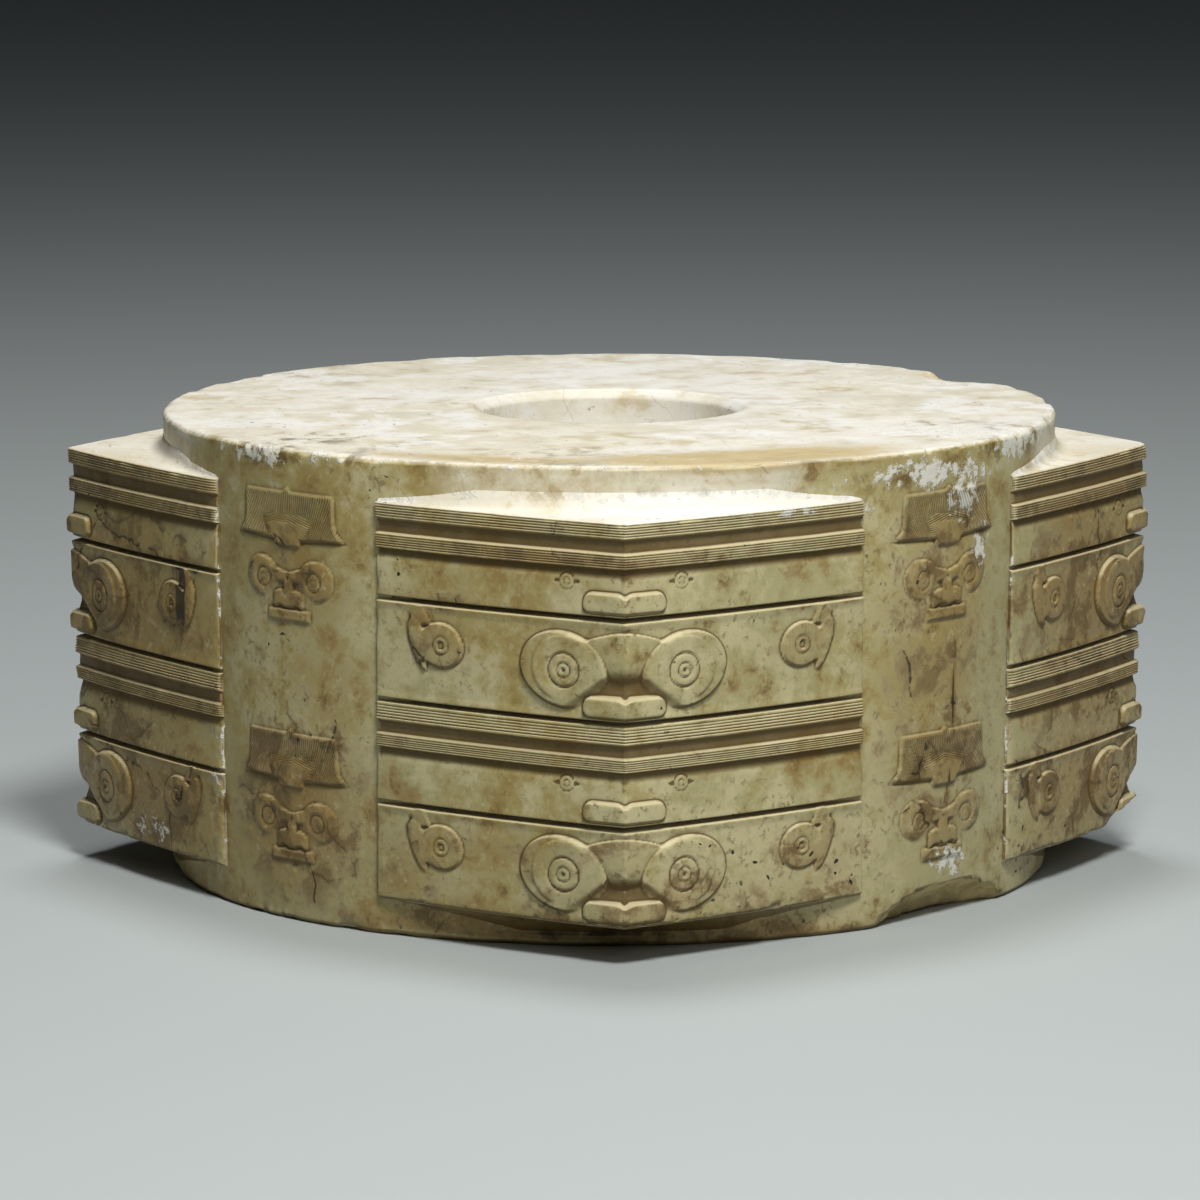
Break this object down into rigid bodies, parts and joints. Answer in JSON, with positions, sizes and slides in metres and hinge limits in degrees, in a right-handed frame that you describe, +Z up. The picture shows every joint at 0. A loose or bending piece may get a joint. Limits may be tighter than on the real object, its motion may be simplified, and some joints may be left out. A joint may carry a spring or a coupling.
{
  "type": "jade cong",
  "caption": "Squared ritual tube of jade round a drilled bore, with carved mask corners, bare round panels between them and a round collar above and below.",
  "frame": {"origin": "middle of the foot, on the surface that it stands on", "axes": "+Z up along the bore; the four corners point along -Y, +X, +Y and -X, and the panels lie between them; the front corner is the one at -Y"},
  "size_m": [0.212, 0.212, 0.089],
  "materials": {
    "jade": "satin"
  },
  "bodies": {
    "root": {"jade_cong": "jade"}
  },
  "joints": []
}
